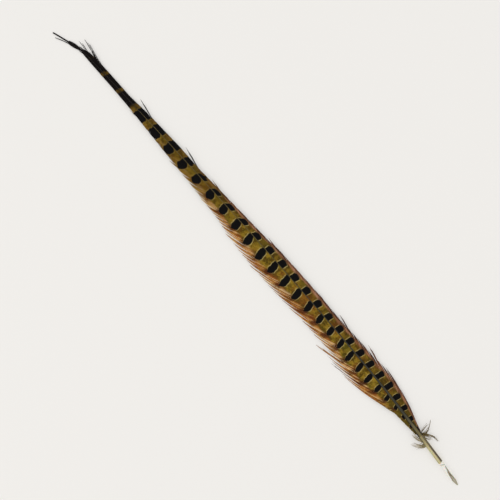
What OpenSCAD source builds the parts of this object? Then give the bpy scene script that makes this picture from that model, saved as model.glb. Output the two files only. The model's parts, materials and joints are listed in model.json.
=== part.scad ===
// Quill pen cut from a long barred tail feather, in millimetres.
// The origin is on the barrel's axis, in the middle of the grip. +X runs to the nib,
// +Y to the narrow vane, and +Z to the feather's upper face.

/* [Barrel] */
// Outer diameter of the barrel at the grip
barrel_od = 3.0; // [2.4:0.1:4.5]
// How much the barrel swells from the grip to its end
heel_swell = 0.2; // [0.1:0.05:0.6]
// How much is scraped off the barrel's diameter, forward of the grip
scrape = 0.2; // [0.14:0.02:0.3]
// Wall of the barrel at the nib
barrel_wall = 0.3; // [0.2:0.05:0.5]
// Length of the grip, the part of the barrel that a sleeve can hold
grip_length = 12; // [10:1:20]
// From the grip to the end of the barrel, where the shaft starts
barrel_heel = 9.5; // [9:0.5:16]
// From the grip to the heel of the scoop cut
grip_margin = 1.5; // [0.5:0.5:6]

/* [Nib] */
// Length of the scoop cut, from its heel to the point
scoop_length = 15; // [12:0.5:22]
// Length of the shoulders that narrow to the point
shoulder_length = 5; // [3.5:0.5:8]
// Width of the squared point
point_w = 0.5; // [0.3:0.1:0.9]
// Length of the ink slit
slit_length = 7; // [4:0.5:9]
// Width of the ink slit
slit_gap = 0.06; // [0.04:0.01:0.12]

/* [Dried pulp] */
// Thickness of the membrane that lines the cut
lining_t = 0.08; // [0.05:0.01:0.15]
// Thickness of one dried pulp cap
cap_t = 0.12; // [0.08:0.02:0.2]
// Number of pulp caps left in the barrel
cap_count = 4; // [2:1:6]
// Gap round a piece inside the barrel
inner_clearance = 0.03; // [0.02:0.01:0.06]

/* [Shaft] */
// Length of the shaft, from the barrel to the pinched end of the vanes
shaft_length = 310; // [200:5:400]
// Width of the shaft at its far end
shaft_tip_w = 0.34; // [0.3:0.02:0.6]
// Length over which the shaft's extra width falls to about a third
shaft_taper = 42; // [30:1:70]
// Wall of the shaft's cortex at its thin end
cortex_tip_wall = 0.12; // [0.1:0.01:0.16]
// Length of the pith inside the shaft
pith_length = 72; // [40:1:90]
// Length of the plug of pith in the barrel's end
plug_length = 3; // [2:0.5:5]
// Sideways bow of the shaft at its far end
shaft_bow = 22.6; // [10:0.2:36]
// Straight length before the bow starts
straight_length = 24.5; // [10:0.5:60]
// Height of the shaft's arch above the surface
shaft_arch = 1.5; // [0.5:0.1:3]

/* [Vanes] */
// Reach of the wide vane
wide_reach = 14; // [8:0.5:18]
// Reach of the narrow vane
narrow_reach = 8.5; // [5:0.5:12]
// Thickness of a vane
vane_t = 0.26; // [0.2:0.02:0.5]
// Droop of the wide vane's edge
wide_droop = 1.9; // [0.5:0.1:2.4]
// Droop of the narrow vane's edge
narrow_droop = 1.1; // [0.3:0.1:2]
// Gap between two webs, at a natural split
split_gap = 0.5; // [0.4:0.05:1]
// Gap between a vane and the shaft
root_gap = 0.04; // [0.02:0.01:0.1]

/* [Tip] */
// Length of the dark end past the pinch
tip_length = 20; // [12:1:30]
// Sideways turn of the tip
tip_turn = 5.2; // [0:0.5:8]
// Width of the end strand
tip_strand_w = 0.85; // [0.5:0.05:1.2]

/* [Loose barbs and down] */
// Thickness of a loose barb
barb_d = 0.24; // [0.2:0.02:0.34]
// Thickness of a strand of down
down_d = 0.2; // [0.16:0.02:0.3]

/* [Hidden] */
$fn = 48;
barrel_r = barrel_od / 2;
nib_r = barrel_r - scrape / 2;
bore_r = nib_r - barrel_wall;
heel_u = grip_length / 2 + barrel_heel;          // the barrel's end, and the shaft's start
scoop_x = grip_length / 2 + grip_margin;         // the scoop's heel
point_x = scoop_x + scoop_length;                // the nib's point
heel_od = barrel_od + heel_swell;                // the barrel's end is as wide as the shaft
shaft_end_u = heel_u + shaft_length;
bow_start_u = heel_u + straight_length;
bow_power = 1.4;
turn_power = 1.15;
tip_start_u = shaft_end_u;
tip_end_u = shaft_end_u + tip_length;
vane_start_u = heel_u + 2;                       // the vanes start just past the barrel
vane_length = shaft_end_u - vane_start_u;
ridge_share = 0.1;                               // how much taller than wide the shaft grows
groove_depth = 0.16;                             // of the shaft's underside, as a share
groove_run = 12;                                 // length over which the groove deepens
tip_rest = 0.25;                                 // height of the tip's axis above the surface
vane_rise = 0.2;                                 // where the vanes meet the shaft, of its height
scoop_sink = 0.45;                               // how far below the axis the point is cut
scoop_power = 1.25;
shoulder_power = 0.85;
lining_side = 0.72;                              // how far back the lining's sides start
lining_end = 0.4;                                // from the lining's end to the point
dome_share = 1.6;                                // radius of a cap's dome, against its rim
web_step = 6;                                    // length of vane for each row of a web
strand_end_d = 0.1;                              // a strand's thickness at its end
clump_root_w = 0.2;                              // half width of the dark tuft at the pinch
clump_gap = 0.04;                                // from the shaft's line to each half of it
strand_h = 0.14;                                 // half height of the end strand
eps = 0.01;
over = 1;                                        // how far a cut runs past what it cuts

// How far out each vane reaches: [share of the vane's length, share of its full reach].
WIDE_SHAPE = [[0, 0.03], [0.018, 0.12], [0.044, 0.24], [0.054, 0.92], [0.1, 0.88],
    [0.145, 0.9], [0.15, 0.73], [0.186, 0.71], [0.25, 0.77], [0.31, 0.88], [0.406, 0.85],
    [0.46, 0.74], [0.519, 0.62], [0.6, 0.5], [0.681, 0.39], [0.76, 0.28], [0.827, 0.19],
    [0.898, 0.11], [0.966, 0.06], [1, 0.02]];
NARROW_SHAPE = [[0, 0.05], [0.009, 0.16], [0.022, 0.62], [0.05, 0.9], [0.115, 0.76],
    [0.163, 0.72], [0.228, 0.65], [0.293, 0.69], [0.406, 0.65], [0.44, 0.54],
    [0.536, 0.43], [0.649, 0.29], [0.7, 0.34], [0.79, 0.28], [0.85, 0.18], [0.924, 0.24],
    [0.96, 0.2], [1, 0.02]];
// Where each vane is split into webs, as shares of its length.
WIDE_SPLITS = [0, 0.047, 0.147, 0.196, 0.257, 0.361, 0.458, 0.568, 0.665, 0.811, 1];
NARROW_SPLITS = [0, 0.06, 0.112, 0.206, 0.277, 0.426, 0.597, 0.662, 0.79, 1];
WIDE = -1;
NARROW = 1;
// How far a barb runs along the shaft as it goes out: a share of its reach and of its square.
WIDE_SWEEP = [1.4, 0.08];
NARROW_SWEEP = [1.9, 0.12];
// Strands of down from the barrel's end: [root along, bend along, bend out, end along,
// end out, height].
WIDE_DOWN = [[-6.6, -6.6, 3.4, -0.6, 6.2, 0], [-6, -4.6, 3, -1, 4.4, 0.3],
    [-5.2, -5.6, 1.8, -2.2, 3.4, -0.3], [-4.4, -4.6, 2.4, -3.2, 5, 0.6],
    [-3.4, -2, 1.4, 1.8, 1.6, 0], [-2.2, -0.6, 2.4, 3, 2.6, 0.3], [-1.2, 1, 1.6, 4, 0.8, 0.6]];
NARROW_DOWN = [[0.8, -4, 5.4, -9, 5, 0.3], [0, -3.2, 4, -6.8, 4.6, 0],
    [-0.8, -3, 2.4, -5.4, 3.4, 0.5], [-2.2, -4.4, 0.6, -5.2, 2, 0],
    [-1.6, -0.2, 4.2, 4.4, 9, 0.6], [1.6, 3, 3, 3.4, 6.6, 0.2], [0.4, 0.2, 2.8, 1, 5.4, 0.9]];
// Stray strands at the tip, on the narrow side, measured from the pinch: [root along, root
// out, bend along, bend out, end along, end out].
TIP_STRAYS = [[-10, 1.9, -5, 3.2, 3.5, 6.4], [-9, 1.5, -4, 2.6, 5, 5], [-8, 1.1, -3, 2, 6.5, 3.6]];

// Sizes along the shaft; u is the distance from the origin, away from the nib.
function shaft_w(u) = shaft_tip_w
    + (heel_od - shaft_tip_w) * exp(-max(0, u - heel_u) / shaft_taper);
function shaft_h(u) = shaft_w(u) * (1 + ridge_share * (1 - shaft_w(u) / heel_od));
heel_wall = heel_od / 2 - bore_r;
function cortex_wall(u) = cortex_tip_wall
    + (heel_wall - cortex_tip_wall) * (shaft_w(u) - shaft_tip_w) / (heel_od - shaft_tip_w);

// The shaft's centreline: straight, then bowed to the wide side, then turned at the tip.
function bow_y(u) = -shaft_bow
    * pow(max(0, u - bow_start_u) / (shaft_end_u - bow_start_u), bow_power);
function turn_y(u) = -tip_turn * pow(max(0, u - tip_start_u) / tip_length, turn_power);
function axis_y(u) = bow_y(u) + turn_y(u);
function along(u) = max(0, u - heel_u) / (tip_end_u - heel_u);
function axis_z(u) = shaft_arch * sin(180 * along(u))
    - (barrel_r - tip_rest) * along(u);
function heading(u) = atan2(axis_y(u + 0.5) - axis_y(u - 0.5), 1);
// A point u along the shaft, d to its side (+ is the narrow side) and z above its axis.
function place(u, d, z) = [-u + d * sin(heading(u)), axis_y(u) + d * cos(heading(u)),
    axis_z(u) + z];

// A barb's advance along the shaft by the time it is d out from it.
function advance(side, d) = let (k = side == WIDE ? WIDE_SWEEP : NARROW_SWEEP)
    k[0] * d + k[1] * d * d;
function reach(side, p) = side == WIDE ? wide_reach * lookup(p, WIDE_SHAPE)
    : narrow_reach * lookup(p, NARROW_SHAPE);
function droop(side, d) = side == WIDE ? wide_droop * pow(d / wide_reach, 2)
    : narrow_droop * pow(d / narrow_reach, 2);
function root_u(p) = vane_start_u + p * vane_length;
function root_d(u) = shaft_w(u) / 2 + root_gap;
function vane_z(u, side, d) = vane_rise * shaft_h(u) - droop(side, d);
// A point on a barb: rooted at share p, d out from the shaft's side, lifted by z.
function barb_point(side, p, d, z) =
    let (u = min(root_u(p) + advance(side, d), tip_end_u))
    place(u, side * (root_d(u) + d), vane_z(u, side, d) + z);

// --- Shapes used by several pieces ---

// A cylinder along X between two places.
module x_cylinder(r, from, to) {
    translate([from, 0, 0]) rotate([0, 90, 0]) cylinder(r = r, h = to - from);
}

// A closed skin over a list of rings that all have the same, even number of points. Each
// ring runs clockwise when seen from the first; flip is for rings that run the other way.
module skin(rings, flip = false) {
    n = len(rings[0]);
    last = len(rings) - 1;
    sides = [for (i = [0:last - 1], j = [0:n - 1]) let (k = (j + 1) % n)
        each [[i * n + j, i * n + k, (i + 1) * n + j],
              [i * n + k, (i + 1) * n + k, (i + 1) * n + j]]];
    first_cap = [for (j = [0:n / 2 - 2])
        each [[j + 1, j, n - 1 - j], [n - 2 - j, j + 1, n - 1 - j]]];
    last_cap = [for (f = first_cap) [for (k = [2:-1:0]) last * n + f[k]]];
    faces = concat(sides, first_cap, last_cap);
    polyhedron(points = [for (r = rings) each r],
        faces = flip ? [for (f = faces) [f[2], f[1], f[0]]] : faces, convexity = 6);
}

// A ring of the shaft at u: a squared oval with a groove below, shrunk by an inset.
function shaft_ring(u, inset) =
    let (w = shaft_w(u) / 2 - inset, h = shaft_h(u) / 2 - inset,
         groove = groove_depth * min(1, (u - heel_u) / groove_run))
    [for (a = [0:30:330]) let (squared = a == 270 ? 1 - groove : 1)
        place(u, w * cos(a), h * sin(a) * squared)];

// Places of the shaft's rings, closer together near the barrel.
function shaft_stations(from, to, count) =
    [for (i = [0:count]) from + (to - from) * pow(i / count, 1.3)];

// A tapering strand through a list of points.
module strand(points, d_root, d_end) {
    last = len(points) - 1;
    skin([for (i = [0:last]) let (
            a = points[max(0, i - 1)], b = points[min(last, i + 1)], dir = b - a,
            side = [-dir[1], dir[0], 0] / norm([dir[0], dir[1], 0.001]),
            r = (d_root + (d_end - d_root) * i / last) / 2)
        [points[i] + side * r, points[i] - [0, 0, r], points[i] - side * r,
         points[i] + [0, 0, r]]]);
}

// Points of a curve from a to b, pulled towards c.
function curve(a, c, b, steps = 8) = [for (i = [0:steps]) let (t = i / steps)
    a * pow(1 - t, 2) + c * 2 * t * (1 - t) + b * pow(t, 2)];

// --- Barrel, nib and dried pulp ---

// Height of the scoop's cut above the barrel's axis, from its heel to the point.
function scoop_z(x) = let (t = (x - scoop_x) / (point_x - scoop_x))
    barrel_r - barrel_r * (1 + scoop_sink) * pow(t, scoop_power);

module scoop_cut() {
    cuts = [for (i = [0:14]) let (x = scoop_x + (point_x + over - scoop_x) * i / 14)
        [x, scoop_z(x)]];
    translate([0, barrel_od, 0]) rotate([90, 0, 0]) linear_extrude(2 * barrel_od)
        polygon(concat(cuts, [[point_x + over, barrel_od], [scoop_x, barrel_od]]));
}

// The two flanks cut away beside the point.
module flank_cuts(margin = 0) {
    shoulder_x = point_x - shoulder_length;
    edge = [for (i = [0:6]) let (t = i / 6)
        [shoulder_x + shoulder_length * t,
         barrel_r + margin - (barrel_r - point_w / 2) * pow(t, shoulder_power)
             - 2 * margin * t]];
    for (side = [0, 1]) mirror([0, side, 0])
        translate([0, 0, -barrel_od]) linear_extrude(2 * barrel_od)
            polygon(concat(edge, [[point_x + over, point_w / 2 - margin],
                [point_x + over, barrel_od], [shoulder_x, barrel_od]]));
}

module slit_cut() {
    translate([point_x - slit_length, -slit_gap / 2, -barrel_od])
        cube([slit_length + over, slit_gap, barrel_od]);
}

module barrel() {
    color([0.86, 0.84, 0.74]) difference() {
        union() {
            x_cylinder(barrel_r, -grip_length / 2, grip_length / 2);
            x_cylinder(nib_r, scoop_x, point_x);
            translate([grip_length / 2, 0, 0]) rotate([0, 90, 0])
                cylinder(r1 = barrel_r, r2 = nib_r, h = grip_margin);
            translate([-heel_u, 0, 0]) rotate([0, 90, 0])
                cylinder(r1 = heel_od / 2, r2 = barrel_r, h = barrel_heel);
        }
        x_cylinder(bore_r, -heel_u - over, point_x + over);
        scoop_cut();
        flank_cuts();
        slit_cut();
    }
}

// The spear-shaped membrane that lies in the cut.
module pulp_lining() {
    lining_r = bore_r - inner_clearance;
    wide_x = point_x - lining_side * shoulder_length;
    color([0.68, 0.65, 0.56]) intersection() {
        difference() {
            x_cylinder(lining_r, scoop_x, point_x - lining_end);
            x_cylinder(lining_r - lining_t, scoop_x - over, point_x + over);
            translate([0, 0, -inner_clearance]) scoop_cut();
            flank_cuts(-2 * inner_clearance);
            slit_cut();
        }
        translate([0, 0, -barrel_od]) linear_extrude(2 * barrel_od)
            polygon([[scoop_x + 1, 0.5 * bore_r], [scoop_x + 1, 0.9 * bore_r],
                [wide_x, bore_r], [point_x, bore_r], [point_x, -bore_r], [wide_x, -bore_r]]);
    }
}

// Thin domed caps of dried pulp across the barrel's bore.
module pulp_caps() {
    cap_r = bore_r - inner_clearance;
    dome_r = dome_share * cap_r;
    first_x = grip_length / 2 - 1;
    last_x = -heel_u + plug_length + 3;
    color([0.72, 0.66, 0.5]) for (i = [0:cap_count - 1])
        translate([first_x + (last_x - first_x) * i / (cap_count - 1), 0, 0])
            rotate([0, 90, 0]) intersection() {
                difference() {
                    translate([0, 0, -dome_r]) sphere(dome_r);
                    translate([0, 0, -dome_r]) sphere(dome_r - cap_t);
                }
                translate([0, 0, -cap_r]) cylinder(r = cap_r, h = 2 * cap_r);
            }
}

// --- Shaft ---

module shaft_cortex() {
    stations = shaft_stations(heel_u, shaft_end_u, 44);
    hollow = shaft_stations(heel_u - eps, heel_u + pith_length, 16);
    color([0.42, 0.4, 0.3]) difference() {
        skin([for (u = stations) shaft_ring(u, 0)]);
        skin([for (u = hollow) shaft_ring(u, cortex_wall(u))]);
    }
}

module shaft_pith() {
    stations = shaft_stations(heel_u, heel_u + pith_length - 0.5, 16);
    color([0.9, 0.88, 0.8]) union() {
        skin([for (u = stations) shaft_ring(u, cortex_wall(u) + inner_clearance)]);
        x_cylinder(bore_r - inner_clearance, -heel_u - eps, -heel_u + plug_length);
    }
}

// --- Vanes ---

// A closed web between two roots, with half a split's gap off each of its ends.
module web(side, from, to) {
    rows = max(2, ceil((to - from) * vane_length / web_step));
    columns = 7;
    trim_from = from == 0 ? 0 : split_gap;
    trim_to = to == 1 ? 0 : split_gap;
    p0 = from + trim_from / vane_length;
    p1 = to - trim_to / vane_length;
    skin([for (i = [0:rows]) let (p = p0 + (p1 - p0) * i / rows, full = reach(side, p))
        concat([for (j = [0:columns]) barb_point(side, p, full * j / columns, vane_t / 2)],
               [for (j = [columns:-1:0]) barb_point(side, p, full * j / columns, -vane_t / 2)])],
        flip = side == NARROW);
}

module wide_web(number) {
    color([0.5, 0.36, 0.16]) web(WIDE, WIDE_SPLITS[number], WIDE_SPLITS[number + 1]);
}

module narrow_web(number) {
    color([0.42, 0.33, 0.24]) web(NARROW, NARROW_SPLITS[number], NARROW_SPLITS[number + 1]);
}

// The dark tuft past the pinch.
module tip_vane() {
    tuft_length = tip_length / 2;
    color([0.1, 0.07, 0.06]) for (side = [WIDE, NARROW])
        skin([for (i = [0:8]) let (u = tip_start_u + 0.4 + tuft_length * i / 8,
                w = clump_root_w + (tip_strand_w - 0.1) * sin(180 * pow(i / 8, 0.8)))
            [for (k = [[clump_gap, 0.4 * vane_t], [w, -0.02], [w, -0.1], [clump_gap, -0.1]])
                place(u, side * k[0], k[1])]], flip = side == NARROW);
}

module tip_barbs() {
    from_u = tip_start_u + tip_length / 2 + 0.6;
    color([0.07, 0.05, 0.04]) {
        skin([for (i = [0:8]) let (u = from_u + (tip_end_u - from_u) * i / 8,
                w = tip_strand_w / 2)
            [for (k = [[w, 0], [0, strand_h], [-w, 0], [0, -strand_h]]) place(u, k[0], k[1])]]);
        strand(curve(place(from_u - 3, -1.6, 0), place(from_u + 4, -2, 0),
            place(tip_end_u - 2, -1.9, 0.1)), barb_d, strand_end_d);
        for (k = TIP_STRAYS)
            strand(curve(place(tip_start_u + k[0], k[1], 0.4), place(tip_start_u + k[2], k[3], 0.5),
                place(tip_start_u + k[4], k[5], 0.6)), barb_d, strand_end_d);
    }
}

// Loose barbs lie in the splits and run on past the vane's edge.
module loose_barbs(side, splits, extra) {
    for (i = [1:len(splits) - 2]) {
        p = splits[i];
        full = reach(side, p + (side == WIDE ? 0.008 : 0));
        strand(concat(
            [for (j = [0:6]) barb_point(side, p, 0.1 + (full - 0.1) * j / 6, 0)],
            [for (j = [1:3]) barb_point(side, p, full + extra * j / 3, 0.1 * j)]),
            barb_d, strand_end_d);
    }
}

module loose_barbs_wide() {
    color([0.55, 0.38, 0.2]) loose_barbs(WIDE, WIDE_SPLITS, 0.6);
}

module loose_barbs_narrow() {
    color([0.3, 0.2, 0.14]) loose_barbs(NARROW, NARROW_SPLITS, 2);
}

// Soft curled strands at the foot of a vane.
module down(side, strands) {
    for (k = strands)
        strand(curve(place(heel_u + k[0], side * (heel_od + down_d + root_gap) / 2, 0.2 + k[5]),
            place(heel_u + k[1], side * (barrel_r + k[2]), 0.8 + k[5]),
            place(heel_u + k[3], side * (barrel_r + k[4]), k[5])), down_d, strand_end_d);
}

module down_wide_side() {
    color([0.66, 0.58, 0.46]) down(WIDE, WIDE_DOWN);
}

module down_narrow_side() {
    color([0.5, 0.42, 0.32]) down(NARROW, NARROW_DOWN);
}

barrel();
pulp_lining();
pulp_caps();
shaft_cortex();
shaft_pith();
wide_web(0);  // wide_vane_base
wide_web(1);  // wide_vane_web_1
wide_web(2);  // wide_vane_web_2
wide_web(3);  // wide_vane_web_3
wide_web(4);  // wide_vane_web_4
wide_web(5);  // wide_vane_web_5
wide_web(6);  // wide_vane_web_6
wide_web(7);  // wide_vane_web_7
wide_web(8);  // wide_vane_web_8
wide_web(9);  // wide_vane_web_9
narrow_web(0);  // narrow_vane_web_1
narrow_web(1);  // narrow_vane_web_2
narrow_web(2);  // narrow_vane_web_3
narrow_web(3);  // narrow_vane_web_4
narrow_web(4);  // narrow_vane_web_5
narrow_web(5);  // narrow_vane_web_6
narrow_web(6);  // narrow_vane_web_7
narrow_web(7);  // narrow_vane_web_8
narrow_web(8);  // narrow_vane_web_9
tip_vane();
tip_barbs();
loose_barbs_wide();
loose_barbs_narrow();
down_wide_side();
down_narrow_side();
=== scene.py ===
"""A quill pen cut from a long barred tail feather, lying on a pale surface."""
import json
import math
import random

import bmesh
import bpy
import numpy as np
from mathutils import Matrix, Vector

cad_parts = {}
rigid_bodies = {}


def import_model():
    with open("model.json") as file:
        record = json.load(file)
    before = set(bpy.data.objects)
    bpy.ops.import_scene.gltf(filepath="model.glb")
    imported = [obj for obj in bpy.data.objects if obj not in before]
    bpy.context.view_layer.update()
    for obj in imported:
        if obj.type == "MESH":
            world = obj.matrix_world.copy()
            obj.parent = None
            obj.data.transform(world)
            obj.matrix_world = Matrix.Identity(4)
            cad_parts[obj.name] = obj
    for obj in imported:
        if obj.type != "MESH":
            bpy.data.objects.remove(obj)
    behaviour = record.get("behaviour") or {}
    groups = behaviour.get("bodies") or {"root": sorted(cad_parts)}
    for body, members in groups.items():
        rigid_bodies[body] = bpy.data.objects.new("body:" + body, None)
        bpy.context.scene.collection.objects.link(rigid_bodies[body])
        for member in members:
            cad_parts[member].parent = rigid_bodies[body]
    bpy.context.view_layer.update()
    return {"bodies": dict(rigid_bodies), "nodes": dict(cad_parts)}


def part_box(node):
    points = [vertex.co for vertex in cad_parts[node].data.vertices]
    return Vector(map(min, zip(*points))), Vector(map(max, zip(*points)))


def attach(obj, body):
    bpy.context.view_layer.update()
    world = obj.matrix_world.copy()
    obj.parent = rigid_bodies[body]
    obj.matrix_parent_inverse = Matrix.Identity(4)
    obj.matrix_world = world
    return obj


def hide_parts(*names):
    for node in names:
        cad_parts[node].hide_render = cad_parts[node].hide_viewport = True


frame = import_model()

MM = 0.001
# The two sides of the shaft, as the sign of their y.
WIDE, NARROW = -1, 1
BODY = next(iter(frame["bodies"]))

# ---------------------------------------------------------------- the feather's own measures
# In millimetres. u runs along the pen from the origin, away from the nib; d is the distance out
# from the shaft. The shaft thins from HEEL_D towards SHAFT_TIP_D, mostly within SHAFT_TAPER.
HEEL_U = -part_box("shaft_cortex")[1].x / MM
VANE_START_U = HEEL_U + 2.0
TIP_END_U = -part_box("tip_barbs")[0].x / MM
TIP_LENGTH = 20.0
SHAFT_END_U = HEEL_U + 310.0
VANE_LENGTH = SHAFT_END_U - VANE_START_U
BARREL_R = 1.5
HEEL_D = 3.2
SHAFT_TIP_D = 0.34
SHAFT_TAPER = 42.0
SHAFT_RIDGE = 0.1
SHAFT_BOW, BOW_POWER = 22.6, 1.4
BOW_START_U = HEEL_U + 24.5
TIP_TURN, TURN_POWER = 5.2, 1.15
SHAFT_ARCH = 1.5
TIP_REST = 0.25
REACH = {WIDE: 14.0, NARROW: 8.5}
LEAST_REACH = 0.5
VANE_RISE = 0.2
DROOP = {WIDE: 1.9, NARROW: 1.1}

# A barb's root lies inside the shaft, at ROOT_SHARE of the shaft's width from its axis. From there
# the barb goes forward by slope * d + curve * d * d while it goes out by d. Past LOOSE_FROM of its
# length it is loose from the next one.
ROOT_SHARE = 0.43
SWEEP = {WIDE: (1.4, 0.08), NARROW: (1.9, 0.12)}
OUT_POWER = {WIDE: 1.3, NARROW: 1.4}
ALONG_POWER = 1.12
LOOSE_FROM = 0.6
BARB_PITCH = 0.36
BARB_OVERLAP = 1.12
BARB_LEAST_HALF_WIDTH = 0.1
BARB_HALF_THICKNESS = 0.055
BARB_TILT = 0.22
BARB_STEPS = 12
BARB_T = np.linspace(0, 1, BARB_STEPS + 1)
MAP = "OFBake"

# How far out each vane reaches: share of the vane's length, share of its full reach.
SHAPE = {
    WIDE: [(0, 0.03), (0.018, 0.12), (0.044, 0.24), (0.054, 0.92), (0.1, 0.88), (0.145, 0.9),
           (0.15, 0.75), (0.186, 0.74), (0.25, 0.8), (0.31, 0.88), (0.406, 0.85), (0.46, 0.74),
           (0.519, 0.62), (0.6, 0.5), (0.681, 0.39), (0.76, 0.28), (0.827, 0.19),
           (0.898, 0.11), (0.966, 0.06), (1, 0.02)],
    NARROW: [(0, 0.05), (0.009, 0.16), (0.022, 0.62), (0.05, 0.9), (0.115, 0.76),
             (0.163, 0.72), (0.228, 0.65), (0.293, 0.69), (0.406, 0.65), (0.44, 0.54),
             (0.536, 0.43), (0.649, 0.29), (0.7, 0.34), (0.79, 0.28), (0.85, 0.18),
             (0.924, 0.24), (0.96, 0.2), (1, 0.02)],
}
# Each web: root from, root to, how ragged its edge is, the size of its tufts, and how far its last
# tuft is flicked outwards and forwards, in millimetres.
WEBS = {
    WIDE: [(0, 0.047, 0.25, 3.5, 0.2, 1), (0.047, 0.147, 1.1, 5.4, 0.6, 1.5),
           (0.147, 0.196, 0.5, 6, 0.5, 1.5), (0.196, 0.257, 0.5, 5, 0.4, 1.5),
           (0.257, 0.361, 0.55, 5.5, 0.6, 2), (0.361, 0.458, 0.5, 6, 0.5, 2),
           (0.458, 0.568, 0.5, 5, 0.3, 2), (0.568, 0.665, 0.4, 6, 0.6, 2),
           (0.665, 0.811, 0.15, 5, 0.3, 2), (0.811, 1, 0.08, 5, 0.1, 1)],
    NARROW: [(0, 0.06, 0.35, 5, 0.3, 2), (0.06, 0.112, 0.4, 5, 1.7, 5.5),
             (0.112, 0.206, 0.35, 6, 1.5, 5.5), (0.206, 0.277, 0.2, 7, 0.3, 2),
             (0.277, 0.426, 0.15, 8, 0.4, 3), (0.426, 0.597, 0.15, 8, 0.6, 4),
             (0.597, 0.662, 0.2, 7, 2.2, 8), (0.662, 0.79, 0.15, 7, 2, 7),
             (0.79, 1, 0.1, 6, 0.3, 2)],
}

# Where the middle of bar n crosses the shaft: u is start + gap n + growth n^2 + slowing n^3.
BARS = {WIDE: (31.3, 7.41, 0.157, -0.0008), NARROW: (27.5, 7.46, 0.16, -0.0009)}
# Where along the feather the bars change: on the narrow side they lean more from LEAN_U and less
# again from UPRIGHT_U, and flicked ends are dark from DARK_ENDS_U; on both sides they don't turn
# back any more from STRAIGHT_U, and shift by SHIFT from SHIFT_U.
LEAN_U, DARK_ENDS_U, STRAIGHT_U, UPRIGHT_U, SHIFT_U = 165, 190, 200, 215, 225
SHIFT = {WIDE: 0.9, NARROW: -0.4}


def smooth(t):
    """Eases from 0 to 1 as t does."""
    t = np.clip(t, 0, 1)
    return t * t * (3 - 2 * t)


def shaft_w(u):
    return SHAFT_TIP_D + (HEEL_D - SHAFT_TIP_D) * np.exp(-np.maximum(0, u - HEEL_U) / SHAFT_TAPER)


def shaft_h(u):
    return shaft_w(u) * (1 + SHAFT_RIDGE * (1 - shaft_w(u) / HEEL_D))


def axis_y(u):
    bow = np.maximum(0, u - BOW_START_U) / (SHAFT_END_U - BOW_START_U)
    turn = np.maximum(0, u - SHAFT_END_U) / TIP_LENGTH
    return -SHAFT_BOW * bow ** BOW_POWER - TIP_TURN * turn ** TURN_POWER


def axis_z(u):
    along = np.maximum(0, u - HEEL_U) / (TIP_END_U - HEEL_U)
    return SHAFT_ARCH * np.sin(np.pi * along) - (BARREL_R - TIP_REST) * along


def place(u, d, z):
    """The point u along the shaft, d to its side and z above its axis, in millimetres."""
    heading = np.arctan2(axis_y(u + 0.5) - axis_y(u - 0.5), 1)
    return np.stack([-u + d * np.sin(heading), axis_y(u) + d * np.cos(heading), axis_z(u) + z],
                    axis=-1)


def reach(side, share):
    """How far out the barbs go whose roots are at this share of the vane's length."""
    shares, reaches = np.array(SHAPE[side]).T
    return REACH[side] * np.interp(share, shares, reaches)


def advance(side, d):
    """How far along the shaft a barb has gone by the time it is d out from it."""
    slope, curve = SWEEP[side]
    return slope * d + curve * d * d


def outline(side, u):
    """The vane's half width where its edge is u along the shaft."""
    share = np.linspace(0, 1, 400)
    edge = VANE_START_U + share * VANE_LENGTH + advance(side, reach(side, share))
    return np.maximum(np.interp(u, edge, reach(side, share)), LEAST_REACH)


def vane_z(u, side, d):
    """How high the vane lies, above the shaft's axis."""
    return VANE_RISE * shaft_h(u) - DROOP[side] * (d / REACH[side]) ** 2


def bar_phase(side, u):
    """Whole numbers at the middle of each dark bar."""
    start, gap, growth, slowing = BARS[side]
    n = np.linspace(-4, 34, 200)
    return np.interp(u, start + gap * n + growth * n ** 2 + slowing * n ** 3, n)


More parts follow.
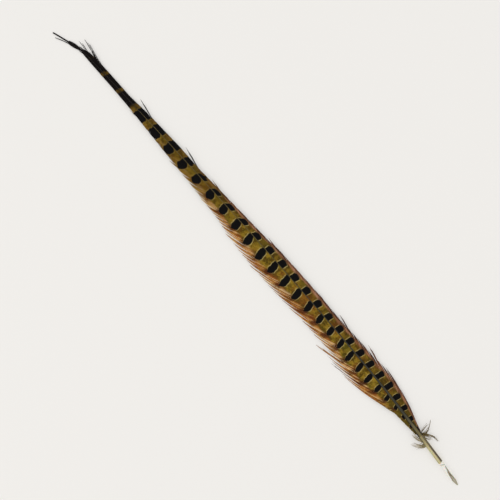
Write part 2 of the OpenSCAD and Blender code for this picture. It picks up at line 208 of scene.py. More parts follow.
# ---------------------------------------------------------------- materials
class Paint:
    """A few short ways to join shader nodes."""

    def __init__(self, name):
        self.material = bpy.data.materials.new(name)
        self.material.use_nodes = True
        self.nodes = self.material.node_tree.nodes
        self.links = self.material.node_tree.links
        self.shader = self.nodes["Principled BSDF"]

    def plug(self, value, socket):
        if isinstance(value, bpy.types.NodeSocket):
            self.links.new(value, socket)
        elif isinstance(value, tuple):
            socket.default_value = (*value, 1) if len(value) == 3 else value
        else:
            socket.default_value = value

    def math(self, operation, a, b=0.0, c=0.0):
        node = self.nodes.new("ShaderNodeMath")
        node.operation = operation
        for value, socket in zip((a, b, c), node.inputs):
            self.plug(value, socket)
        return node.outputs[0]

    def times(self, first, *others):
        for other in others:
            first = self.math("MULTIPLY", first, other)
        return first

    def linear(self, value, slope, start):
        """value * slope + start."""
        return self.math("MULTIPLY_ADD", value, slope, start)

    def apart(self, a, b):
        """How far a and b are from each other."""
        return self.math("ABSOLUTE", self.math("SUBTRACT", a, b))

    def uneven(self, value, patches, amount):
        """value, pushed up and down by patches that run from 0 to 1."""
        return self.linear(self.math("SUBTRACT", patches, 0.5), amount, value)

    def step(self, value, low, high):
        """0 below low and 1 above high, eased between; low may be above high."""
        node = self.nodes.new("ShaderNodeMapRange")
        node.interpolation_type = "SMOOTHSTEP"
        self.plug(value, node.inputs["Value"])
        self.plug(low, node.inputs["From Min"])
        self.plug(high, node.inputs["From Max"])
        return node.outputs["Result"]

    def mix(self, share, a, b):
        node = self.nodes.new("ShaderNodeMix")
        node.data_type = "RGBA"
        self.plug(share, node.inputs[0])
        self.plug(a, node.inputs[6])
        self.plug(b, node.inputs[7])
        return node.outputs[2]

    def attribute(self, name):
        node = self.nodes.new("ShaderNodeAttribute")
        node.attribute_name = name
        return node

    def split(self, vector):
        node = self.nodes.new("ShaderNodeSeparateXYZ")
        self.plug(vector, node.inputs[0])
        return node.outputs

    def join(self, x, y, z):
        node = self.nodes.new("ShaderNodeCombineXYZ")
        for value, socket in zip((x, y, z), node.inputs):
            self.plug(value, socket)
        return node.outputs[0]

    def noise(self, vector, scale, detail, rough):
        node = self.nodes.new("ShaderNodeTexNoise")
        self.plug(vector, node.inputs["Vector"])
        node.inputs["Scale"].default_value = scale
        node.inputs["Detail"].default_value = detail
        node.inputs["Roughness"].default_value = rough
        return node.outputs["Fac"]

    def wave(self, vector, scale, distortion):
        node = self.nodes.new("ShaderNodeTexWave")
        self.plug(vector, node.inputs["Vector"])
        node.inputs["Scale"].default_value = scale
        node.inputs["Distortion"].default_value = distortion
        return node.outputs["Fac"]

    def object_place(self):
        return self.nodes.new("ShaderNodeTexCoord").outputs["Object"]

    def bump(self, height, strength, distance):
        node = self.nodes.new("ShaderNodeBump")
        node.inputs["Strength"].default_value = strength
        node.inputs["Distance"].default_value = distance
        self.plug(height, node.inputs["Height"])
        self.plug(node.outputs["Normal"], self.shader.inputs["Normal"])

    def finish(self, colour, rough, **sockets):
        self.plug(colour, self.shader.inputs["Base Color"])
        self.plug(rough, self.shader.inputs["Roughness"])
        for name, value in sockets.items():
            self.plug(value, self.shader.inputs[name.replace("_", " ")])
        return self.material


def srgb(r, g, b):
    """A colour given as it looks, 0 to 255, for a shader."""
    return tuple((c / 255) ** 2.2 for c in (r, g, b))


def vane_paint(name, side):
    """Barred vane. "plume" holds bar phase, share of the vane's width, and share of the barb's
    length; "barb" holds a barb's tone, its own mixed with painted shade and highlight across its
    tuft, and u as a share of the feather."""
    p = Paint(name)
    phase, width, along = p.split(p.attribute("plume").outputs["Vector"])
    tone, run, _ = p.split(p.attribute("barb").outputs["Vector"])
    spot = p.object_place()
    flecks = p.join(p.times(along, 14.0), p.times(tone, 9.0), p.times(run, 60.0))
    grain = p.noise(flecks, 1.0, 4.0, 0.65)
    cloud = p.noise(spot, 260.0, 4.0, 0.62)
    blush = p.noise(spot, 95.0, 2.0, 0.5)

    # Ground: golden olive, mottled with green and red brown, in tones that differ barb by barb.
    ground = p.mix(p.step(cloud, 0.4, 0.58), srgb(152, 124, 38), srgb(84, 68, 12))
    warm = p.times(p.step(run, 0.8, 0.5), 0.7)
    ground = p.mix(p.times(warm, p.step(blush, 0.5, 0.66)), ground, srgb(122, 70, 24))
    ground = p.mix(p.times(p.step(blush, 0.44, 0.3), 0.5), ground, srgb(84, 84, 22))
    ground = p.mix(p.times(p.step(grain, 0.52, 0.68), 0.85), ground, srgb(88, 44, 14))
    ground = p.mix(p.times(p.step(grain, 0.46, 0.3), 0.5), ground, srgb(164, 138, 52))
    # High tone also darkens the ground: partly each barb's own tone, partly painted shade at one
    # end of each tuft.
    ground = p.mix(p.times(p.step(tone, 0.6, 1.0), 0.7), ground, srgb(62, 46, 12))
    ground = p.mix(p.step(run, 0.17, 0.06), ground, srgb(92, 78, 24))
    ground = p.mix(p.times(p.step(run, 0.4, 0.7), 0.55), ground, srgb(86, 66, 12))
    if side == NARROW:
        ground = p.mix(0.35, ground, srgb(72, 50, 16))

    # Outer zone: rust and buff on the wide side, brown with a dark rim on the narrow one. It fades
    # out towards the tip.
    # In the outer zone high tone paints barbs dark and low tone pale; across each tuft this is
    # painted shade at one end and a painted highlight at the other.
    wobble = p.uneven(width, blush, 0.5)
    if side == WIDE:
        outer = p.mix(p.step(cloud, 0.35, 0.65), srgb(196, 142, 74), srgb(154, 92, 38))
        outer = p.mix(p.times(p.step(width, 0.7, 0.5), 0.8), outer, srgb(136, 70, 24))
        outer = p.mix(p.step(tone, 0.58, 0.78), outer, srgb(88, 42, 16))
        outer = p.mix(p.step(tone, 0.38, 0.22), outer, srgb(232, 202, 148))
        zone = p.times(p.step(wobble, 0.48, 0.66), p.step(run, 0.1, 0.16))
    else:
        outer = p.mix(p.step(tone, 0.4, 0.7), srgb(166, 118, 84), srgb(110, 70, 42))
        outer = p.mix(p.step(tone, 0.22, 0.02), outer, srgb(222, 190, 160))
        brim = p.mix(p.step(tone, 0.35, 0.6), srgb(128, 86, 66), srgb(56, 34, 24))
        outer = p.mix(p.step(width, 0.82, 0.95), outer, brim)
        zone = p.step(wobble, 0.6, 0.78)
    zone = p.times(zone, p.linear(p.step(run, 0.54, 0.66), -0.85, 1.0))
    colour = p.mix(zone, ground, outer)

    # Bars: black, thicker towards the tip, with a thin pale line each side. In bar phase, "off" is
    # how far a place is from the nearest bar's middle and "half" is the bar's half width there.
    middle = p.math("ADD", phase, 0.5)
    if side == WIDE:
        belly = p.times(p.step(width, -0.1, 0.28), p.step(width, 0.75, 0.4))
        middle = p.linear(belly, 0.05, middle)
    off = p.apart(p.math("FRACT", middle), 0.5)
    off = p.uneven(p.uneven(off, grain, 0.06), cloud, 0.14)
    half = p.math("MAXIMUM", p.linear(run, 0.13, 0.15), 0.19)
    half = p.linear(p.step(run, 0.66, 0.82), 0.07, half)
    if side == WIDE:
        # The bar is narrow at the shaft, full in the middle and tapers to its outer end, which
        # comes nearer to the vane's edge along the feather.
        stretch = p.linear(p.step(run, 0.4, 0.27), 0.22, 1.0)
        stretch = p.linear(p.step(run, 0.56, 0.74), -0.5, stretch)
        reached = p.uneven(p.times(width, stretch), blush, 0.24)
        swell = p.times(p.step(reached, -0.3, 0.2), p.step(reached, 0.76, 0.42))
        across = p.step(run, 0.68, 0.76)
    else:
        half = p.times(half, 1.12)
        swell = p.times(p.step(width, -0.3, 0.12), p.step(width, 0.84, 0.56))
        across = p.step(run, 0.6, 0.7)
    # Towards the tip the bars cross the whole vane.
    swell = p.math("MAXIMUM", swell, p.times(across, 0.95))
    past = p.math("SUBTRACT", off, p.times(half, swell))
    line = p.times(p.step(past, 0.06, 0.03), p.step(past, -0.01, 0.015),
                   p.math("SUBTRACT", 1.0, zone), p.step(width, 0.0, 0.14),
                   p.linear(p.step(run, 0.5, 0.66), -0.58, 0.7))
    colour = p.mix(line, colour, srgb(192, 174, 112))
    # Each bar goes on outwards as dark streaks in the outer zone.
    streak = p.times(p.step(off, 0.3, 0.1), p.step(width, 0.32, 0.5), p.step(width, 1.04, 0.64),
                     p.step(grain, 0.68, 0.5), 0.92)
    colour = p.mix(streak, colour, srgb(68, 28, 10) if side == WIDE else srgb(50, 30, 24))
    bar = p.times(p.step(past, 0.016, -0.02), p.step(swell, 0.08, 0.34))
    colour = p.mix(bar, colour, srgb(9, 5, 5))

    # Pale frayed ends on the wide side, palest on barbs of low tone, where the painted highlight
    # across each tuft falls.
    if side == WIDE:
        pale = p.times(p.step(along, 0.82, 0.97), p.step(tone, 0.55, 0.36),
                       p.step(run, 0.75, 0.6), 0.7)
        colour = p.mix(pale, colour, srgb(226, 196, 146))
    # The dark end of the feather, with a few olive patches midway between bars.
    patched = p.linear(p.step(off, 0.38, 0.45), -0.45 if side == WIDE else -0.8, 1.0)
    dusk = p.times(p.step(run, 0.805, 0.82), patched)
    dusk = p.math("MAXIMUM", dusk, p.step(run, 0.915, 0.93))
    colour = p.mix(dusk, colour, srgb(18, 12, 10))

    # The underside is duller and greyer.
    _, _, facing_up = p.split(p.nodes.new("ShaderNodeNewGeometry").outputs["Normal"])
    below = p.times(p.step(facing_up, 0.05, -0.25), 0.8)
    colour = p.mix(below, colour, p.mix(0.45, colour, srgb(104, 88, 62)))

    # Barbules: fine slanting hooks along every barb.
    hooks = p.wave(p.join(p.times(along, 18.0), tone, 0.0), 2.2, 0.6)
    p.bump(p.linear(cloud, 0.6, hooks), 0.25, 0.05 * MM)
    return p.finish(colour, p.linear(grain, 0.2, 0.52), Specular_IOR_Level=0.12)


def strand_paint(name, root, end, shading):
    """Loose strands: one colour at the root and another at the end, unevenly shaded. "strand"
    holds the share of a strand's length and its own tone."""
    p = Paint(name)
    share, tone, _ = p.split(p.attribute("strand").outputs["Vector"])
    patch = p.noise(p.object_place(), 420.0, 3.0, 0.6)
    colour = p.mix(p.step(share, 0.1, 0.95), srgb(*root), srgb(*end))
    shade = p.times(p.step(p.linear(tone, 0.3, patch), 0.5, 0.8), shading)
    colour = p.mix(shade, colour, srgb(40, 28, 22))
    p.bump(patch, 0.2, 0.04 * MM)
    return p.finish(colour, p.linear(patch, 0.2, 0.55), Specular_IOR_Level=0.16)


def barrel_paint():
    """Clear, pale horn at the nib, then olive, with painted shade as a dark line along the narrow
    vane's side. Places are in metres here, as the object's own coordinates are."""
    p = Paint("barrel_horn")
    spot = p.object_place()
    x, y, z = p.split(spot)
    fibre = p.noise(p.join(p.times(x, 60.0), p.times(y, 900.0), p.times(z, 900.0)), 1.0, 3.0, 0.6)
    cloud = p.noise(spot, 260.0, 2.0, 0.5)
    clear = p.mix(p.step(cloud, 0.3, 0.75), srgb(246, 243, 236), srgb(238, 234, 220))
    olive = p.mix(p.step(fibre, 0.35, 0.7), srgb(196, 186, 138), srgb(164, 152, 98))
    shaded_olive = p.mix(p.step(fibre, 0.35, 0.7), srgb(78, 62, 26), srgb(48, 35, 12))
    # Painted shade: a dark line along the upper part of the barrel on the narrow vane's side.
    line = p.times(p.step(y, -0.0001, 0.0005), p.step(y, 0.00152, 0.00125),
                   p.step(z, -0.0007, 0.0003))
    olive = p.mix(line, olive, shaded_olive)
    # Towards the heel painted shade darkens the other side too, and the whole of it dulls.
    far_side_shade = p.times(p.step(y, -0.0004, -0.0012), p.step(x, -0.006, -0.0145), 0.85)
    olive = p.mix(far_side_shade, olive, shaded_olive)
    olive = p.mix(p.times(p.step(x, -0.004, -0.0145), 0.45), olive, srgb(118, 108, 68))
    edge = p.linear(y, 0.35, p.uneven(x, cloud, 0.0016))
    colour = p.mix(p.step(edge, 0.0052, 0.0044), clear, olive)

    # What shows through the clear horn: the rim of a cap, and the lining's edge as a thin line.
    rim = p.times(p.step(p.apart(x, p.linear(y, 0.5, 0.0063)), 0.00045, 0.0002),
                  p.step(z, 0.0004, 0.001), 0.55)
    colour = p.mix(rim, colour, srgb(112, 104, 84))
    centre = p.linear(x, -0.11, 0.00165)
    half_width = p.linear(x, 0.075, -0.00036)
    past = p.math("SUBTRACT", p.apart(y, centre), half_width)
    spear = p.times(p.step(past, 0.00012, -0.00008), p.step(x, 0.0074, 0.0082),
                    p.step(z, 0, 0.0004), 0.85)
    colour = p.mix(spear, colour, srgb(128, 118, 86))
    p.bump(fibre, 0.12, 0.04 * MM)
    return p.finish(colour, p.linear(cloud, 0.12, 0.24), Coat_Weight=0.2,
                    Coat_Roughness=0.15, Subsurface_Weight=0.2, Subsurface_Scale=0.001)


def shaft_paint():
    """Grey-green horn, with painted shade in dark brown along its sides, pale in its groove.
    "shaft" holds the place across, the place up, and the share of the length."""
    p = Paint("shaft_horn")
    side, ridge, run = p.split(p.attribute("shaft").outputs["Vector"])
    fibre = p.noise(p.join(p.times(run, 40.0), p.times(side, 5.0), ridge), 1.5, 4.0, 0.6)
    root = p.mix(p.step(fibre, 0.35, 0.7), srgb(126, 114, 72), srgb(92, 80, 44))
    middle = p.mix(p.step(fibre, 0.35, 0.7), srgb(64, 62, 44), srgb(32, 30, 20))
    colour = p.mix(p.step(run, -0.01, 0.06), root, middle)
    colour = p.mix(p.step(run, 0.3, 0.55), colour, srgb(96, 84, 48))
    # Painted shade: the shaft's sides are darkened, most near the heel.
    shaded_sides = p.times(p.step(p.math("ABSOLUTE", side), 0.35, 0.75), p.step(run, 0.5, 0.02))
    colour = p.mix(shaded_sides, colour, srgb(34, 27, 12))
    colour = p.mix(p.step(run, 0.76, 0.81), colour, srgb(22, 15, 10))
    colour = p.mix(p.step(ridge, -0.3, -0.9), colour, srgb(178, 162, 118))
    p.bump(fibre, 0.2, 0.05 * MM)
    return p.finish(colour, p.linear(fibre, 0.15, 0.36), Specular_IOR_Level=0.35)


def pulp_paint(name, light, dark):
    """Dry, finely wrinkled membrane."""
    p = Paint(name)
    spot = p.object_place()
    wrinkle = p.noise(spot, 900.0, 5.0, 0.6)
    cloud = p.noise(spot, 240.0, 2.0, 0.5)
    colour = p.mix(p.step(cloud, 0.3, 0.7), srgb(*light), srgb(*dark))
    p.bump(wrinkle, 0.35, 0.06 * MM)
    return p.finish(colour, p.linear(wrinkle, 0.2, 0.55))


# ---------------------------------------------------------------- shapes
def finished(name, bm, material):
    """Turns a bmesh into a finished piece that rides with the pen."""
    bm.normal_update()
    mesh = bpy.data.meshes.new(name)
    bm.to_mesh(mesh)
    bm.free()
    mesh.materials.append(material)
    for face in mesh.polygons:
        face.use_smooth = True
    piece = bpy.data.objects.new(name, mesh)
    bpy.context.scene.collection.objects.link(piece)
    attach(piece, BODY)
    return piece


def rod_master(sides, steps):
    """A closed rod along Z from 0 to 1 with a unit radius, cut into steps along its length. Its map
    has the length across and the girth up, with a little room at each end for the caps."""
    bm = bmesh.new()
    bmesh.ops.create_cone(bm, cap_ends=True, cap_tris=False, segments=sides, radius1=1,
                          radius2=1, depth=1)
    bmesh.ops.translate(bm, verts=bm.verts, vec=(0, 0, 0.5))
    long_edges = [e for e in bm.edges if abs(e.verts[0].co.z - e.verts[1].co.z) > 0.5]
    bmesh.ops.subdivide_edges(bm, edges=long_edges, cuts=steps - 1)
    uv = bm.loops.layers.uv.new(MAP)
    for face in bm.faces:
        if abs(face.normal.z) > 0.5:
            for edge in face.edges:
                edge.smooth = False
            for loop in face.loops:
                x, y, z = loop.vert.co
                loop[uv].uv = (0.025 + 0.95 * z + 0.015 * x, 0.5 + 0.35 * y)
        else:
            middle = face.calc_center_median()
            turn = math.atan2(middle.x, middle.y) / math.tau % 1
            for loop in face.loops:
                x, y, z = loop.vert.co
                here = math.atan2(x, y) / math.tau % 1
                here += round(turn - here)
                loop[uv].uv = (0.06 + 0.88 * z, here)
    mesh = bpy.data.meshes.new("rod")
    bm.to_mesh(mesh)
    bm.free()
    return mesh


def add_rods(name, rods, master, material, layers):
    """A piece of many rods. Each rod is a function of the master's points that gives places in
    millimetres and, for each layer's name, a vector for each point. The rods share the piece's map
    in rows and up to two columns."""
    bm = bmesh.new()
    stores = [bm.verts.layers.float_vector.new(layer) for layer in layers]
    unit = np.array([v.co for v in master.vertices])
    columns = min(2, len(rods))
    rows = math.ceil(len(rods) / columns)
    for number, rod in enumerate(rods):
        first_vert, first_face = len(bm.verts), len(bm.faces)
        bm.from_mesh(master)
        bm.verts.ensure_lookup_table()
        bm.faces.ensure_lookup_table()
        places, *values = rod(unit)
        for i, co in enumerate(places * MM):
            vert = bm.verts[first_vert + i]
            vert.co = co
            for store, value in zip(stores, values):
                vert[store] = value[i]
        uv = bm.loops.layers.uv[MAP]
        row, column = divmod(number, columns)
        for face in bm.faces[first_face:]:
            for loop in face.loops:
                across, up = loop[uv].uv
                loop[uv].uv = ((column + 0.01 + 0.98 * across) / columns,
                               (row + 0.05 + 0.9 * up) / rows)
    return finished(name, bm, material)


def along_line(unit, line, half_width, half_thick, tilt=0.0):
    """Lays the master rod along a line of points, with its own half width and thickness."""
    steps = len(line) - 1
    k = np.clip(np.round(unit[:, 2] * steps).astype(int), 0, steps)
    way = np.gradient(line, axis=0)
    way /= np.linalg.norm(way, axis=1)[:, None] + 1e-9
    side = np.stack([-way[:, 1], way[:, 0], np.zeros(len(way))], axis=1)
    side /= np.linalg.norm(side, axis=1)[:, None] + 1e-9
    up = np.cross(way, side)
    across = unit[:, 0] * half_width[k]
    lift = unit[:, 1] * half_thick[k] + across * tilt
    return line[k] + side[k] * across[:, None] + up[k] * lift[:, None], k


# ---------------------------------------------------------------- vanes
def tufts(start_u, end_u, ragged, size, rng):
    """Splits a web into tufts: (from, to, raggedness, splay, pull, tone)."""
    found = []
    u = start_u
    while u < end_u:
        stop = u + size * rng.uniform(0.6, 1.4)
        if end_u - stop < 0.5 * size:
            stop = end_u
        found.append((u, stop, ragged * rng.uniform(0.5, 1.1), ragged * rng.gauss(0.3, 0.5),
                      rng.uniform(0.5, 0.95) * min(0.8, 1.4 * ragged), rng.random()))
        u = stop
    return found


def vane_web(name, side, web, material, seed):
    """One web of a vane, barb by barb."""
    rng = random.Random(seed)
    from_share, to_share, ragged, size, flick_out, flick_on = web
    start_u = VANE_START_U + from_share * VANE_LENGTH
    end_u = VANE_START_U + to_share * VANE_LENGTH
    groups = tufts(start_u, end_u, ragged, size, rng)
    count = round((end_u - start_u) / BARB_PITCH)
    rods = []
    for i in range(count):
        root_u = start_u + (end_u - start_u) * (i + 0.5) / count
        tuft = next(t for t in groups if root_u <= t[1])
        full = float(reach(side, (root_u - VANE_START_U) / VANE_LENGTH))
        if from_share:
            full *= 1 - 0.16 * ragged * math.exp(-(root_u - start_u) / 1.5)
        last = float(smooth((root_u - end_u + 3.2) / 1.8))
        flick = (flick_out * last * rng.uniform(0.85, 1), flick_on * last * rng.uniform(0.92, 1))
        rods.append(barb_rod(side, root_u, full, tuft, flick, rng))
        if i == 0 and from_share > 0.05:
            # A dark barb marks the split.
            rods.append(barb_rod(side, root_u + 0.1, full * 0.97, tuft, (0, 0.8), rng, 0.05))
    return add_rods(name, rods, BARB_MASTER, material, ("plume", "barb"))


def bar_place(side, u, d):
    """The u whose bar covers a place. The bars lean towards the nib as they go out, and their
    outer streaks lean back again."""
    half_width = outline(side, u)
    turn = (0.58 + smooth((u - STRAIGHT_U) / 30)) * half_width
    if side == WIDE:
        lean, centre = 0.1, 0
    else:
        upright = 0.7 * smooth((u - UPRIGHT_U) / 25)
        lean = 0.15 + 0.75 * smooth((u - LEAN_U) / 25) * (1 - upright)
        centre = 0.4 * half_width
    leant = u + lean * (np.minimum(d, turn) - centre) - 0.5 * np.maximum(d - turn, 0)
    return leant + SHIFT[side] * smooth((u - SHIFT_U) / 30)


def barb_rod(side, root_u, full, tuft, flick, rng, tone=None):
    """One flat barb, widest at its root, with the coordinates that its paint needs."""
    start, stop, ragged, splay, pull, tuft_tone = tuft
    flick_out, flick_on = flick
    flicked = min(flick_out, 1.0)
    share = (root_u - start) / (stop - start)
    run = root_u / TIP_END_U

    # Its course. Far along the feather the barbs lie closer to the shaft's own line. The loose end
    # is pulled together with the others of its tuft, or flicked aside.
    length = full * (1 + 0.2 * ragged ** 2 * (share - 0.4)) * rng.uniform(0.985, 1.015) + 0.3
    length += 0.25 * float(smooth((run - 0.78) / 0.1))
    closer = 1 + 0.9 * smooth((run - 0.5) / 0.3)
    loose = smooth((BARB_T - LOOSE_FROM) / (1 - LOOSE_FROM))
    pull = max(pull, 0.85 * flicked)
    gathered = start + 0.8 * (stop - start)
    u = root_u + advance(side, length) * closer * BARB_T ** ALONG_POWER
    u = u + ((gathered - root_u) * pull + splay + flick_on) * loose
    u = np.minimum(u, TIP_END_U)
    d = length * (1 - (1 - BARB_T) ** OUT_POWER[side]) + flick_out * loose
    z = vane_z(u, side, d) + rng.uniform(-0.015, 0.015) + 0.12 * flicked * loose
    line = place(u, side * (ROOT_SHARE * shaft_w(u) + d), z)

    # Its size: wide enough to meet the next barb, fine at the end.
    slope, curve = SWEEP[side]
    forward = (slope + 2 * curve * d) * closer
    half_width = BARB_OVERLAP * BARB_PITCH / np.sqrt(1 + forward ** 2)
    taper = 1 - 0.7 * smooth((BARB_T - 0.87) / 0.13)
    bold = 1 + 0.9 * flicked * loose
    half_width = np.maximum(half_width, BARB_LEAST_HALF_WIDTH) * taper * bold
    half_thick = BARB_HALF_THICKNESS * (1 - 0.4 * BARB_T) * np.maximum(taper, 0.5)

    # Its colours.
    phase = bar_phase(side, bar_place(side, u, d))
    if side == NARROW and root_u > DARK_ENDS_U:
        phase = phase + (np.round(phase[-1]) - phase) * flicked * loose
    if tone is None:
        # Painted shade and highlight: tone climbs from one end of the tuft to the other, so one end
        # is painted darker and the other paler, over the barb's random tone.
        across = 0.55 * min(ragged, 1) * (share - 0.5)
        tone = min(1.0, max(0.0, 0.75 * rng.gauss(0.5, 0.2) + 0.25 * tuft_tone + across))
    plume = np.stack([phase, d / outline(side, u), BARB_T], axis=1)
    barb = np.stack([tone + 0 * u, u / TIP_END_U, 0 * u], axis=1)

    def rod(unit):
        places, k = along_line(unit, line, half_width, half_thick, BARB_TILT * side)
        return places, plume[k], barb[k]
    return rod


# ---------------------------------------------------------------- the scene
# How far the table lies below the barrel, in millimetres.
TABLE_GAP = 0.12
# The camera's place over the table and the width it sees, in metres, and its turn in degrees.
VIEW_CENTRE = (-0.1684, -0.0146)
VIEW_WIDTH = 0.3043
VIEW_TURN = 52.9


def lamp(name, place_m, energy, size, colour):
    """A soft lamp aimed at the middle of the pen."""
    light = bpy.data.lights.new(name, "AREA")
    light.energy = energy
    light.size = size
    light.color = colour
    lamp_object = bpy.data.objects.new(name, light)
    lamp_object.location = place_m
    aim = Vector((-0.16, -0.015, 0)) - Vector(place_m)
    lamp_object.rotation_euler = aim.to_track_quat("-Z", "Y").to_euler()
    bpy.context.scene.collection.objects.link(lamp_object)


def stage():
    """A pale surface, soft light and the camera straight above."""
    bm = bmesh.new()
    bmesh.ops.create_grid(bm, x_segments=8, y_segments=8, size=1.6)
    mesh = bpy.data.meshes.new("table_top")
    bm.to_mesh(mesh)
    bm.free()
    table = bpy.data.objects.new("table_top", mesh)
    table.location.z = -(BARREL_R + TABLE_GAP) * MM
    bpy.context.scene.collection.objects.link(table)
    # The paper gives off a little light of its own, which keeps the shadows faint.
    paper = Paint("table_paper")
    mesh.materials.append(paper.finish(srgb(193, 191, 187), 0.8, Emission_Strength=0.34,
                                       Emission_Color=(0.995, 0.985, 0.965, 1)))

    lamp("key_light", (-0.5, -0.85, 1.0), 2.6, 0.8, (1, 0.99, 0.97))
    lamp("fill_light", (0.2, 0.75, 1.1), 2.0, 1.2, (0.98, 0.99, 1))
    world = bpy.data.worlds.new("soft_room")
    world.use_nodes = True
    world.node_tree.nodes["Background"].inputs["Color"].default_value = (0.99, 0.98, 0.975, 1)
    world.node_tree.nodes["Background"].inputs["Strength"].default_value = 0.81
    bpy.context.scene.world = world
    bpy.context.scene.view_settings.view_transform = "Standard"

    lens = bpy.data.cameras.new("camera")
    lens.lens = 85
    camera = bpy.data.objects.new("camera", lens)
    camera.location = (*VIEW_CENTRE, VIEW_WIDTH * lens.lens / lens.sensor_width)
    camera.rotation_euler = (0, 0, math.radians(VIEW_TURN))
    bpy.context.scene.collection.objects.link(camera)
    bpy.context.scene.camera = camera


stage()
BARB_MASTER = rod_master(3, BARB_STEPS)
wide_paint = vane_paint("wide_vane_paint", WIDE)
narrow_paint = vane_paint("narrow_vane_paint", NARROW)

for number, web in enumerate(WEBS[WIDE]):
    node = f"wide_vane_web_{number}" if number else "wide_vane_base"
    barbs = vane_web(f"{node}_barbs", WIDE, web, wide_paint, 100 + number)
    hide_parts(node)
for number, web in enumerate(WEBS[NARROW]):
    node = f"narrow_vane_web_{number + 1}"
    barbs = vane_web(f"{node}_barbs", NARROW, web, narrow_paint, 200 + number)
    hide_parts(node)

# The barrel, its lining and caps, and the pith keep their own shapes.
finishes = {
    "barrel": barrel_paint(),
    "pulp_lining": pulp_paint("lining_paint", (186, 180, 158), (156, 148, 122)),
    "pulp_caps": pulp_paint("cap_paint", (196, 186, 156), (168, 154, 116)),
    "shaft_pith": pulp_paint("pith_paint", (236, 230, 212), (214, 204, 180)),
}
for node, material in finishes.items():
    slots = frame["nodes"][node].data.materials
    slots.clear()
    slots.append(material)


# ---------------------------------------------------------------- shaft
SHAFT_SIDES, SHAFT_STEPS = 24, 64


def shaft_length(name, from_u, to_u, material):
    """A length of cortex: a squarish rod with a ridge above and a groove below, both of which grow
    from nothing at the heel."""
    stations = np.linspace(from_u, to_u, SHAFT_STEPS + 1)

    def rod(unit):
        k = np.clip(np.round(unit[:, 2] * SHAFT_STEPS).astype(int), 0, SHAFT_STEPS)
        u = stations[k]
        angle = np.arctan2(unit[:, 1], unit[:, 0])
        grown = smooth((u - HEEL_U) / 14)
        square = 1 + 0.06 * grown * np.cos(4 * angle)
        groove = 1 - 0.3 * grown * np.exp(-((angle + np.pi / 2) / 0.32) ** 2)
        ridge = 1 + 0.05 * grown * np.exp(-((angle - np.pi / 2) / 0.3) ** 2)
        d = np.cos(angle) * shaft_w(u) / 2 * square
        z = np.sin(angle) * shaft_h(u) / 2 * square * groove * ridge
        run = (u - HEEL_U) / (TIP_END_U - HEEL_U)
        return place(u, d, z), np.stack([np.cos(angle), np.sin(angle), run], axis=1)
    master = rod_master(SHAFT_SIDES, SHAFT_STEPS)
    piece = add_rods(name, [rod], master, material, ("shaft",))
    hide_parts("shaft_cortex")


# Over the pith, along the middle, and the fine end.
horn = shaft_paint()
shaft_ends = (HEEL_U, HEEL_U + 78, HEEL_U + 186, SHAFT_END_U)
for number, (from_u, to_u) in enumerate(zip(shaft_ends, shaft_ends[1:])):
    shaft_length(f"shaft_horn_{number + 1}", from_u, to_u, horn)


# ---------------------------------------------------------------- strands, down and tip
STRAND_STEPS = 12
STRAND_MASTER = rod_master(4, STRAND_STEPS)
STRAND_T = np.linspace(0, 1, STRAND_STEPS + 1)


def bend(a, c, b):
    """Points of a curve from a to b, pulled towards c."""
    t = STRAND_T[:, None]
    return a * (1 - t) ** 2 + c * 2 * t * (1 - t) + b * t ** 2


def strand_rod(line, root_d, end_d, tone, flat):
    """One strand along a line, root_d thick at its root and end_d at its end."""
    half = (root_d + (end_d - root_d) * STRAND_T ** 1.5) / 2

    def rod(unit):
        places, k = along_line(unit, line, half, half * flat)
        return places, np.stack([STRAND_T[k], np.full(len(k), tone), 0 * k], axis=1)
    return rod


def strand_piece(name, lines, root_d, end_d, material, node, seed, flat=1.0):
    """Many loose strands as one piece, in place of a CAD node."""
    rng = random.Random(seed)
    rods = [strand_rod(line, root_d * rng.uniform(0.8, 1.15), end_d, rng.random(), flat)
            for line in lines]
    piece = add_rods(name, rods, STRAND_MASTER, material, ("strand",))
    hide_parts(node)


def loose_barbs(name, side, material, node, seed):
    """Barbs that have come away at the end of each web, and stand past the vane's edge."""
    rng = random.Random(seed)
    rods = []
    for _, to_share, _, _, flick_out, flick_on in WEBS[side][:-1]:
        for _ in range(3):
            root_u = VANE_START_U + to_share * VANE_LENGTH - rng.uniform(0.1, 0.5)
            full = float(reach(side, (root_u - VANE_START_U) / VANE_LENGTH))
            tuft = (root_u - 1, root_u + 1, 0.2, 0, 0, 0.5)
            more = rng.uniform(0.7, 1.25)
            flick = (flick_out * more + 0.15, flick_on * more + 1)
            rods.append(barb_rod(side, root_u, full, tuft, flick, rng))
    piece = add_rods(name, rods, BARB_MASTER, material, ("plume", "barb"))
    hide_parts(node)


loose_barbs("loose_wide_barbs", WIDE, wide_paint, "loose_barbs_wide", 31)
loose_barbs("loose_narrow_barbs", NARROW, narrow_paint, "loose_barbs_narrow", 32)

# Tufts of down round the barrel's end, one row each: root along; bend along and out; end along
# and out; height; strands; spread.
DOWN = {
    WIDE: [(-6.6, -6.6, 3.4, -0.6, 6.2, 0, 7, 0.25), (-6, -4.6, 3, -1, 4.4, 0.3, 7, 0.3),
           (-5.2, -5.6, 1.8, -2.2, 3.4, -0.3, 6, 0.3), (-4.4, -4.6, 2.4, -3.2, 5, 0.6, 5, 0.4),
           (-3.4, -2, 1.4, 1.8, 1.6, 0, 9, 0.4), (-2.2, -0.6, 2.4, 3, 2.6, 0.3, 6, 0.3),
           (-1.2, 1, 1.6, 4, 0.8, 0.6, 6, 0.3)],
    NARROW: [(0.8, -4, 5.4, -9, 5, 0.3, 12, 0.16), (0, -3.2, 4, -6.8, 4.6, 0, 5, 0.3),
             (-0.8, -3, 2.4, -5.4, 3.4, 0.5, 5, 0.3), (-2.2, -4.4, 0.6, -5.2, 2, 0, 6, 0.25),
             (-1.6, -0.2, 4.2, 4.2, 9, 0.6, 8, 0.1), (1.6, 3, 3, 3.4, 6.6, 0.2, 4, 0.2),
             (0.4, 0.2, 2.8, 1, 5.4, 0.9, 8, 0.35)],
}


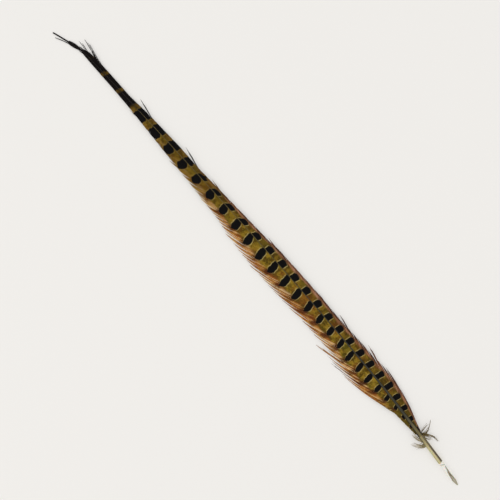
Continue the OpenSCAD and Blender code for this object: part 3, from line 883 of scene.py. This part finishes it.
def down_lines(side, rng):
    """Fine strands follow each guide and spread a little towards their ends."""
    lines = []
    for root, bend_u, bend_out, end_u, end_out, high, count, spread in DOWN[side]:
        for _ in range(count):
            aside = rng.gauss(0, spread)
            on = rng.gauss(0, 1.4 * spread)
            rise = rng.gauss(0, 0.2)
            a = place(HEEL_U + root + 0.8 * on, side * (HEEL_D / 2 - 0.08), 0.1 + 0.2 * high)
            c = place(HEEL_U + bend_u + on, side * (BARREL_R + bend_out + aside), 0.8 + high)
            b = place(HEEL_U + end_u + 1.5 * on, side * (BARREL_R + end_out + 1.5 * aside),
                      high + rise)
            lines.append(bend(a, c, b))
    return lines


rng = random.Random(7)
strand_piece("down_wide_strands", down_lines(WIDE, rng), 0.24, 0.06,
             strand_paint("wide_down_paint", (172, 156, 112), (204, 194, 172), 0.45),
             "down_wide_side", 33)
strand_piece("down_narrow_strands", down_lines(NARROW, rng), 0.26, 0.07,
             strand_paint("narrow_down_paint", (108, 92, 54), (150, 136, 112), 0.5),
             "down_narrow_side", 34)

dark_paint = strand_paint("tip_strand_paint", (20, 13, 11), (16, 10, 8), 0.2)


def tip_clump(count, rng):
    """Strands matted together past the pinch, fullest just before they break off."""
    lines = []
    for i in range(count):
        offset = 2 * (i + 0.5) / count - 1
        end = SHAFT_END_U + 11.4 - 0.7 * offset ** 2 - rng.random() * 0.6
        u = SHAFT_END_U - 2 + (end - SHAFT_END_U + 2) * STRAND_T
        growing = smooth((u - SHAFT_END_U) / 7)
        breaking = smooth((u - SHAFT_END_U - 8) / 4)
        swell = 0.35 + 0.9 * growing * (1 - 0.5 * breaking)
        lines.append(place(u, offset * swell, 0.06 + 0.1 * rng.random() * (1 - offset ** 2)))
    return lines


# Sprays of stray strands on the narrow side: root along and out; end along and out; strands.
SPRAYS = [(-15, 1.4, 3.4, 6.2, 8), (-14, 1.3, -2, 4.2, 6), (-6, 0.9, 6, 3.9, 5)]


def tip_strays(rng):
    """The end strand, a short one beside it, and the sprays on the narrow side."""
    lines = []
    for i in range(9):
        offset = 2 * (i + 0.5) / 9 - 1
        u = SHAFT_END_U + 7 + (TIP_LENGTH - 5.8 - 0.4 * abs(offset)) * STRAND_T
        lines.append(place(u, offset * 0.38, 0.05 + 0.15 * rng.random() * (1 - abs(offset))))
    beside_u = SHAFT_END_U + TIP_LENGTH / 2
    for aside in (0, 0.22):
        lines.append(bend(place(beside_u - 2, -0.5 - aside, 0),
                          place(beside_u + 4, -0.9 - aside, 0),
                          place(TIP_END_U - 1.5 - 2 * aside, -1.9 - aside, 0.1)))
    for root, root_out, end, end_out, count in SPRAYS:
        for _ in range(count):
            aside = rng.gauss(0, 0.2)
            on = rng.uniform(-3.5, 0.5)
            middle, middle_out = (root + end) / 2, (root_out + end_out) / 2 - 0.9
            lines.append(bend(place(SHAFT_END_U + root + on, root_out + aside, 0.2),
                              place(SHAFT_END_U + middle + on, middle_out + aside, 0.4),
                              place(SHAFT_END_U + end + on, end_out + 0.15 * on + aside, 0.5)))
    return lines


strand_piece("tip_vane_barbs", tip_clump(16, rng), 0.34, 0.2, dark_paint, "tip_vane",
             35, 0.6)
strand_piece("tip_end_barbs", tip_strays(rng), 0.3, 0.18, dark_paint, "tip_barbs",
             36, 0.6)
